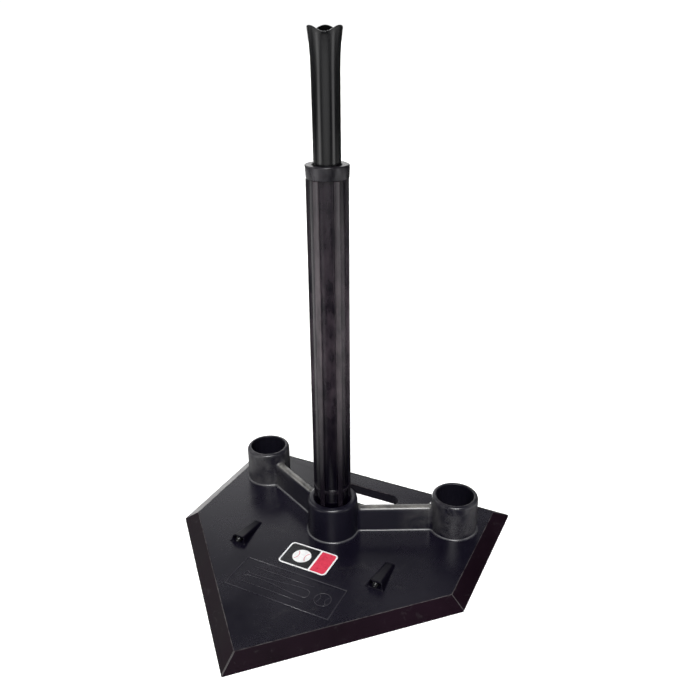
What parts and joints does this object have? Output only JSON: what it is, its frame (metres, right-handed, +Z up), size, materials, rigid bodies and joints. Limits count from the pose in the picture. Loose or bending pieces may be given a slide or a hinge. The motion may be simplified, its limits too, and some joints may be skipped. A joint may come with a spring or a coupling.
{
  "type": "batting tee",
  "caption": "Batting tee on a home-plate base with inner and outer post sockets, a ribbed lower post tube, a sliding upper tube and a flared, lobed ball cup.",
  "frame": {"origin": "on the ground, at the centre of the plate's outline", "axes": "+Z up along the post; +Y towards the plate's long straight edge, -Y towards its point; +X to the right seen from the point"},
  "size_m": [0.432, 0.432, 0.675],
  "materials": {
    "base_rubber": "satin moulded rubber",
    "post_rubber": "semi-gloss moulded rubber",
    "upper_rubber": "satin moulded rubber",
    "plug_plastic": "gloss",
    "ring_plastic": "matte",
    "badge_vinyl": "printed vinyl, gloss"
  },
  "bodies": {
    "base": {"base_plate": "base_rubber", "left_socket": "base_rubber", "centre_socket": "base_rubber", "right_socket": "base_rubber", "left_bridge": "base_rubber", "right_bridge": "base_rubber", "left_stake_guide": "base_rubber", "right_stake_guide": "base_rubber", "left_stake_plug": "plug_plastic", "right_stake_plug": "plug_plastic", "badge": "badge_vinyl"},
    "lower_post": {"lower_tube": "post_rubber", "post_collar": "post_rubber"},
    "grip": {"grip_ring": "ring_plastic"},
    "upper_post": {"upper_tube": "upper_rubber", "end_plug": "ring_plastic", "ball_cup": "upper_rubber"}
  },
  "joints": [
    {"name": "post_lift", "type": "slide", "parent": "base", "child": "lower_post", "axis": [0, 0, 1], "range_m": [0, 0.06]},
    {"name": "cup_turn", "type": "hinge", "parent": "lower_post", "child": "grip", "pos_m": [0, 0.062, 0.513], "axis": [0, 0, 1], "continuous": true},
    {"name": "height_slide", "type": "slide", "parent": "grip", "child": "upper_post", "axis": [0, 0, 1], "range_m": [-0.091, 0.239]}
  ]
}
